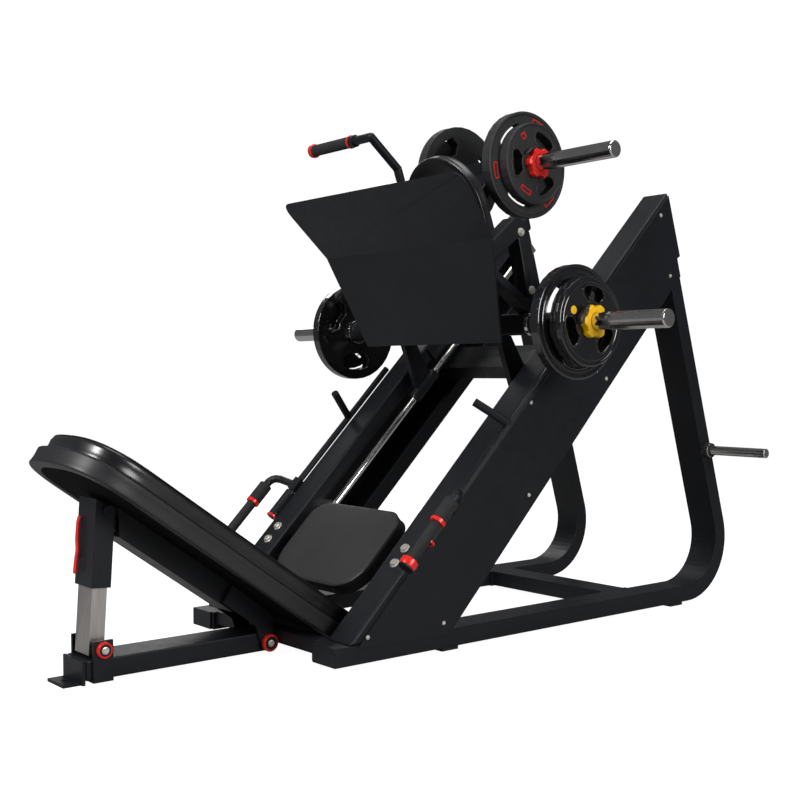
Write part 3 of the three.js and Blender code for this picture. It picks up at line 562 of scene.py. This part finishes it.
welt("backrest_base_welt", tongue(0.001), 0.0022, 0.0430,
     base_foot, bed_up, bed_out, "backrest", satin_leather)
welt("backrest_top_welt", tongue(0.0155), 0.0042, 0.0415,
     bed_seam, bed_up, bed_out, "backrest", gloss_leather, 0.002)
welt("seat_welt", round_box(0.209, seat_low, seat_high, 0.095, 0.062), 0.0016, 0.0405,
     seat_foot, up_rail, off_rail, "frame", gloss_leather, 0.0028)
welt("carriage_welt", pad_outline, 0.002, 0.0290, pad_foot, pad_run, pad_out, "carriage", satin_leather)

# Big red pin caps with a chromed hex socket, at the foot of the post and at the tilt pin.

saddle_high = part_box("post_saddle")[1]
arm_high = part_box("backrest_arm")[1]
swing_pin = Vector(joints["post_swing"]["pos_m"])
for name, pin, out, radius, body in (
    ("post_pin", swing_pin, saddle_high.x, 0.0205, "frame"),
    ("tilt_pin", tilt_pin, arm_high.x, 0.0235, "backrest"),
):
    for side, hand in (("right", 1), ("left", -1)):
        base = Vector((hand * (out - 0.0098), pin.y, pin.z))
        piece(f"{side}_{name}_cap", [turned(
            [(0, 0), (0, radius), (0.0075, radius), (0.0098, radius - 0.0012), (0.0102, radius - 0.005),
             (0.0086, radius - 0.0075), (0.0086, 0)], base, (hand, 0, 0), 40)],
            body, red_metal)
        face = base + Vector((hand * 0.0090, 0, 0))
        piece(f"{side}_{name}_nut", hex_bolt(face, (hand, 0, 0), 0.0072, 0.006),
              body, zinc)

# Release lever: a bent red strip hung from the top of the post's sleeve, with a chromed plunger behind it.

lever_low, lever_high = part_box("post_lever")
lever_x, strip_length, strip_steps = -0.026, 0.142, 40
strip = np.array([(0.000, 0.0), (0.004, -0.010), (0.0045, -0.060),
                  (0.0015, -0.085), (0.004, -0.110), (0.0055, -strip_length)])
height = np.linspace(0, -strip_length, strip_steps)
bow = np.interp(-height, -strip[:, 1], strip[:, 0])
bow = np.convolve(np.pad(bow, 2, mode="edge"), np.ones(5) / 5, mode="valid")
lean_y = (lever_high.y - lever_low.y - 0.014) / (lever_high.z - lever_low.z)
around = []
for across, deep in ((-1, -1), (1, -1), (1, 1), (-1, 1)):
    around.append(np.stack([np.full(strip_steps, lever_x + 0.0075 * across),
                            lever_low.y + 0.0085 - bow + 0.0022 * deep + lean_y * (height + strip_length),
                            lever_high.z - 0.004 + height], 1))
strip_rows = np.stack(around, 1)
strip_rows = np.concatenate([strip_rows[:1].mean(1, keepdims=True).repeat(4, 1), strip_rows,
                             strip_rows[-1:].mean(1, keepdims=True).repeat(4, 1)])
lever = piece("release_lever", [lattice(strip_rows, wrap_across=True)], "post_lever", red_metal)
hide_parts("post_lever")
rounding = lever.modifiers.new("edge", "BEVEL")
rounding.width, rounding.segments, rounding.limit_method = 0.001, 2, "ANGLE"
piece("lever_plunger", [turned([(0, 0), (0, 0.0035), (0.016, 0.0035), (0.016, 0)],
                               (lever_x, lever_low.y + 0.004, lever_low.z + 0.045), (0, 1, 0), 20)],
      "post_lever", chrome)

# Safety stops: foam sleeve, thin red rings and a domed red cap over the bent steel bar. The left
# one rests turned 24 degrees further outwards.

foam, tree, shader = shader_of("grip_foam")
place = grain(tree, shader, 650, 0.5, 0.0007, 6.0)
ramp(tree, clouds(tree, place, 60), shader.inputs["Base Color"],
     ((0.3, (0.011, 0.011, 0.012, 1)), (0.7, (0.019, 0.019, 0.020, 1))))
shader.inputs["Roughness"].default_value = 0.85
stop_x, stop_reach = 0.380, 0.104
down = -up_rail


def on_stop(hand, angle, s):
    """The point on a stop's handle s up the rail, the bar standing at an angle from level."""
    return on_rail(hand * (stop_x + stop_reach * math.cos(angle)), s, stop_reach * math.sin(angle))


for side, hand, turn in (("right", 1, 0), ("left", -1, 24)):
    body = side + "_stop"
    angle = math.radians(42 - turn)
    piece(side + "_stop_grip", [turned(
        [(0, 0), (0, 0.0175), (0.0015, 0.0208), (0.063, 0.0208), (0.0645, 0.0175), (0.0645, 0)],
        on_stop(hand, angle, 0.440), down, 36)], body, foam)
    piece(side + "_stop_sleeve", [turned(
        [(0, 0), (0, 0.0145), (0.001, 0.0152), (0.120, 0.0152), (0.1205, 0.0145), (0.1205, 0)],
        on_stop(hand, angle, 0.364), down, 32)], body, foam)
    piece(side + "_stop_ring", [turned(
        [(0, 0), (0, 0.0205), (0.001, 0.0215), (0.010, 0.0215), (0.011, 0.0205), (0.011, 0)],
        on_stop(hand, angle, 0.3755), down, 36)], body, red_metal)
    piece(side + "_stop_cap", [turned(
        [(0, 0), (0, 0.0200), (0.003, 0.0232), (0.014, 0.0240), (0.022, 0.0225), (0.0262, 0.0170),
         (0.0262, 0.0090), (0.0240, 0.0078), (0.0240, 0)],
        on_stop(hand, angle, 0.2430), down, 40)], body, red_metal)
    piece(side + "_stop_lock_ring", [turned(
        [(0, 0.0106), (0, 0.0172), (0.0008, 0.0178), (0.0055, 0.0178), (0.0063, 0.0172), (0.0063, 0.0106),
         (0, 0.0106)], on_rail(hand * stop_x, 0.3520, 0), down, 36)], body, red_metal)

# Carriage handle: foam grip, a red cap on its end, a red ring before the bend and a black collar.

handle_low, handle_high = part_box("carriage_handle")
bar_y, bar_z = handle_low.y + 0.022, handle_high.z - 0.022
for name, slot, material, at, profile in (
    ("handle_grip", "rubber_black", foam, -0.4400,
     [(0, 0), (0, 0.0168), (0.002, 0.0182), (0.192, 0.0182), (0.194, 0.0168), (0.194, 0)]),
    ("handle_cap", "lever_red", red_metal, -0.4520,
     [(0, 0), (0, 0.0100), (0.0015, 0.0180), (0.006, 0.0224), (0.013, 0.0228), (0.016, 0.0200), (0.016, 0)]),
    ("handle_ring", "lever_red", red_metal, -0.2460,
     [(0, 0), (0, 0.0200), (0.001, 0.0208), (0.008, 0.0208), (0.009, 0.0200), (0.009, 0)]),
    ("handle_collar", "frame_black", powder_coat, -0.2370,
     [(0, 0), (0, 0.0186), (0.001, 0.0192), (0.018, 0.0192), (0.020, 0.0170), (0.020, 0)]),
):
    piece(name, [turned(profile, (at, bar_y, bar_z), (1, 0, 0), 36)], "carriage", material)

# Weight plates in relief: a rolled rim, a hub boss and a bead round each window.


def window_path(middle, radius, turn, x, grow):
    """The outline of one window: an outer arc, an inner arc and two rounded ends."""
    outer = turn + np.linspace(-0.38, 0.38, 9)
    inner = turn + np.linspace(0.38, -0.38, 9)
    ends = np.array([0.48, 0.53, 0.47])
    angle = np.concatenate([outer, turn + ends, inner, turn - ends[::-1]])
    waist = np.array([0.74, 0.64, 0.53])
    reach = radius * np.concatenate([np.full(9, 0.80), waist, np.full(9, 0.46), waist[::-1]])
    reach = radius * 0.63 + (reach - radius * 0.63) * grow
    return np.stack([np.full(len(angle), x), middle.y + reach * np.cos(angle),
                     middle.z + reach * np.sin(angle)], 1)


for side, hand in (("right", 1), ("left", -1)):
    for level_name, turns in (("lower", {"big": 0.5, "small": 1.4}), ("upper", {"big": 0.2, "small": 1.1})):
        for size in ("big", "small"):
            node = f"{side}_{level_name}_{size}_plate"
            low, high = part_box(node)
            middle, radius = (low + high) / 2, (high.z - low.z) / 2
            surface = high.x if hand > 0 else low.x
            material = enamel if level_name == "lower" else plate_rubber
            slot = "plate_enamel" if level_name == "lower" else "plate_rubber"
            start = (surface, middle.y, middle.z)
            relief = [turned(
                [(-0.004, radius * 0.995), (0.000, radius * 1.000), (0.0022, radius * 0.985),
                 (0.0030, radius * 0.965), (0.0026, radius * 0.945), (0.0, radius * 0.925),
                 (-0.004, radius * 0.915), (-0.004, radius * 0.995)], start, (hand, 0, 0), 96)]
            if level_name == "lower":
                relief.append(turned(
                    [(-0.002, radius * 0.885), (0.0016, radius * 0.880), (0.0022, radius * 0.868),
                     (0.0016, radius * 0.856), (-0.002, radius * 0.850), (-0.002, radius * 0.885)],
                    start, (hand, 0, 0), 96))
            if size == "small":
                boss = [(-0.003, 0.0266), (0.0002, 0.0266), (0.0002, 0.0440), (-0.003, 0.0450),
                        (-0.003, 0.0266)]
                if level_name == "upper":
                    boss = [(-0.003, 0.0266), (0.0040, 0.0270), (0.0048, 0.0290), (0.0046, 0.0385),
                            (0.0030, 0.0420), (-0.003, 0.0440), (-0.003, 0.0266)]
                relief.append(turned(boss, start, (hand, 0, 0), 64))
            for k in range(3):
                relief.append(bead(window_path(middle, radius, turns[size] + k * 2 * math.pi / 3,
                                               surface, 1.06), 0.0034, (hand, 0, 0)))
            piece(f"{side}_{level_name}_{size}_relief", relief, node, material)

# Raised markings: plain red bars and squares round the rubber plates, no lettering on them, and
# a round yellow sticker on each outer enamelled plate.


def mark(middle, x, hand, radius, angle, width, height, raise_by=0.0012):
    """A flat raised frame bent round the plate at a radius: a closed grid of a rectangle's
    outline carried inwards, standing up by raise_by."""
    t = np.linspace(-0.5, 0.5, 9)
    outline = np.concatenate([np.stack([t, np.full(9, -0.5)], 1), np.stack([np.full(5, 0.5), t[::2]], 1)[1:],
                              np.stack([-t, np.full(9, 0.5)], 1)[1:],
                              np.stack([np.full(5, -0.5), -t[::2]], 1)[1:-1]])
    rows = []
    for shrink, up in ((0.0, -0.001), (0.0, raise_by), (0.0035, raise_by),
                       (0.0035, 0.0003), (0.0036, -0.001)):
        along = outline[:, 0] * (width - 2 * shrink)
        out = outline[:, 1] * (height - 2 * shrink)
        turn = angle + along / radius
        rows.append(np.stack([np.full(len(outline), x + hand * up), middle.y + (radius + out) * np.cos(turn),
                              middle.z + (radius + out) * np.sin(turn)], 1))
    return lattice(np.stack(rows), wrap_along=True, wrap_across=True)


for side, hand in (("right", 1), ("left", -1)):
    for size, radius, turn, spots in (
        ("big", 0.137, 0.2, ((0.0, 0.050, 0.017), (2.1, 0.050, 0.017), (4.2, 0.050, 0.017))),
        ("small", 0.094, 1.1, ((1.05, 0.019, 0.019), (3.15, 0.044, 0.016), (5.25, 0.019, 0.019))),
    ):
        node = f"{side}_upper_{size}_plate"
        low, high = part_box(node)
        face = high.x if hand > 0 else low.x
        piece(f"{side}_upper_{size}_marks", [
            mark((low + high) / 2, face, hand, radius, turn + math.pi / 3 * (size == "big") + at, width, tall)
            for at, width, tall in spots], node, red_metal, 60)
    node = side + "_lower_small_plate"
    low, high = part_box(node)
    middle = (low + high) / 2
    face = high.x if hand > 0 else low.x
    spot = (face, middle.y - 0.066, middle.z + 0.030)
    disc = [(-0.0005, 0), (-0.0005, 0.0115), (0.0004, 0.0115), (0.0006, 0.0110), (0.0006, 0)]
    piece(side + "_plate_sticker", [turned(disc, spot, (hand, 0, 0), 32)], node, yellow)

# Clamp collars: a lobed ring with a black latch lever across its top.

black_plastic, tree, shader = shader_of("black_plastic")
place = grain(tree, shader, 380, 0.2, 0.0005)
ramp(tree, clouds(tree, place, 30), shader.inputs["Base Color"],
     ((0.3, (0.010, 0.010, 0.010, 1)), (0.7, (0.016, 0.016, 0.016, 1))))
shader.inputs["Roughness"].default_value = 0.4


def clamp_ring(low, high, hand, lobes=6):
    """A ring whose outer radius swells lobes times round, with rounded shoulders."""
    middle = (low + high) / 2
    bore, steps = 0.0258, 96
    along = np.array([0.0, 0.0, 0.002, 0.0125, 0.023, 0.025, 0.025])
    swell = np.array([0.66, 0.93, 1.0, 1.03, 1.0, 0.93, 0.66])
    angle = np.linspace(0, 2 * np.pi, steps, endpoint=False)
    outer = 0.0430 * (1 + 0.085 * np.tanh(3 * np.cos(lobes * angle)))
    reach = np.maximum(swell[:, None] * outer[None, :], bore)
    reach[0, :] = bore
    reach[-1, :] = bore
    x = low.x + along if hand > 0 else high.x - along
    points = np.stack([np.repeat(x[:, None], steps, 1), middle.y + reach * np.cos(angle)[None, :],
                       middle.z + reach * np.sin(angle)[None, :]], -1)
    return lattice(points, wrap_along=True, wrap_across=True)


def latch(low, high, hand, turn):
    """A curved lever: a flat rounded section carried along an arc outside the ring."""
    middle = (low + high) / 2
    stations, corners = 18, 16
    angle = turn + np.linspace(-0.2, 1.15, stations)
    lift = 0.0470 + 0.010 * np.linspace(0, 1, stations) ** 2
    corner = np.linspace(0, 2 * np.pi, corners, endpoint=False)
    across = 0.0105 * np.sign(np.cos(corner)) * np.abs(np.cos(corner)) ** 0.6
    thick = 0.0036 * np.sign(np.sin(corner)) * np.abs(np.sin(corner)) ** 0.6
    taper = np.concatenate([[0.02], np.linspace(0.8, 1, 3), np.ones(11), [0.9, 0.7, 0.02]])
    reach = lift[:, None] + thick[None, :] * taper[:, None]
    points = np.stack([middle.x + across[None, :] * taper[:, None],
                       middle.y + reach * np.cos(angle)[:, None],
                       middle.z + reach * np.sin(angle)[:, None]], -1)
    root = points[:1].mean(1, keepdims=True).repeat(corners, 1)
    tip = points[-1:].mean(1, keepdims=True).repeat(corners, 1)
    return lattice(np.concatenate([root, points, tip]), wrap_across=True)


for side, hand in (("right", 1), ("left", -1)):
    for level_name, slot, material, turn in (("lower", "collar_yellow", yellow, 2.2),
                                             ("upper", "collar_red", red_metal, 1.6)):
        node = f"{side}_{level_name}_collar"
        low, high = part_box(node)
        clamp = piece(f"{node}_clamp", [clamp_ring(low, high, hand)], node, material)
        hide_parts(node)
        piece(f"{node}_latch", [latch(low, high, hand, turn)], node, black_plastic)

# Rubber bumpers at the roots of the storage pegs.

for side, hand in (("right", 1), ("left", -1)):
    low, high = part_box(side + "_storage_peg")
    middle = (low + high) / 2
    root = low.x if hand > 0 else high.x
    piece(side + "_peg_bumper", [turned(
        [(0.0002, 0), (0.0002, 0.0225), (0.002, 0.0242), (0.018, 0.0242), (0.0225, 0.0215), (0.0228, 0.0155),
         (0.0228, 0)], (root, middle.y, middle.z), (hand, 0, 0), 40)], "frame", rubber)

# Black sleeves over the roots of the lower horns, between the carriage and the plates, with a rolled lip.

for side, hand in (("right", 1), ("left", -1)):
    side_low, side_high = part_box(side + "_carriage_side")
    plate_low, plate_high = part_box(side + "_lower_big_plate")
    root = max(abs(side_low.x), abs(side_high.x)) + 0.0125
    reach = min(abs(plate_low.x), abs(plate_high.x)) - 0.0140 - root
    middle = (plate_low + plate_high) / 2
    piece(side + "_horn_sleeve", [turned(
        [(0, 0), (0, 0.0300), (0.001, 0.0312), (reach - 0.006, 0.0312), (reach - 0.004, 0.0330),
         (reach - 0.001, 0.0330), (reach, 0.0315), (reach, 0)],
        (hand * root, middle.y, middle.z), (hand, 0, 0), 48)], "carriage", powder_coat)
